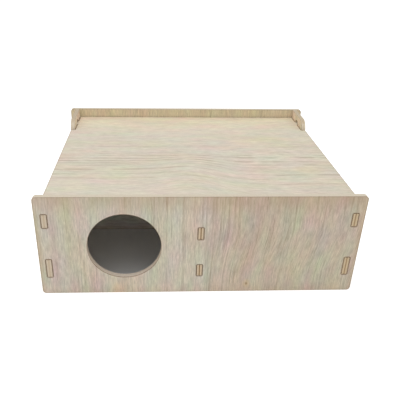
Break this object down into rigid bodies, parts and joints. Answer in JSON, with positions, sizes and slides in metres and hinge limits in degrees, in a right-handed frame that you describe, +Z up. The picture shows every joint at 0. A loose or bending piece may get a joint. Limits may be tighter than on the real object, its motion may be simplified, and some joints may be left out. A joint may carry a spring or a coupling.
{
  "type": "hamster house",
  "caption": "Slotted plywood hideout for a hamster, with a round entrance, inner rooms joined by round passages, and a flat lid that hinges open at the back.",
  "frame": {"origin": "middle of the footprint, on the surface that the house stands on", "axes": "+X to the right along the front panel, which is the longest extent, +Y from the front to the back, +Z up"},
  "size_m": [0.25, 0.2, 0.091],
  "materials": {
    "front_plywood": "bare plywood, pale sliced veneer, vertical grain",
    "back_plywood": "bare plywood, pale sliced veneer, vertical grain",
    "left_plywood": "bare plywood, pale sliced veneer, vertical grain",
    "right_plywood": "bare plywood, pale sliced veneer, vertical grain",
    "long_divider_plywood": "bare plywood, pale sliced veneer, vertical grain",
    "cross_divider_plywood": "bare plywood, pale sliced veneer, lengthwise grain",
    "lid_plywood": "bare plywood, pale sliced veneer, grain along its width"
  },
  "bodies": {
    "housing": {"front_panel": "front_plywood", "back_panel": "back_plywood", "left_side_panel": "left_plywood", "right_side_panel": "right_plywood", "long_divider": "long_divider_plywood", "cross_divider": "cross_divider_plywood"},
    "lid": {"lid": "lid_plywood"}
  },
  "joints": [
    {"name": "lid_hinge", "type": "hinge", "parent": "housing", "child": "lid", "pos_m": [0, 0.076, 0.0805], "axis": [-1, 0, 0], "range_deg": [0, 145]}
  ]
}
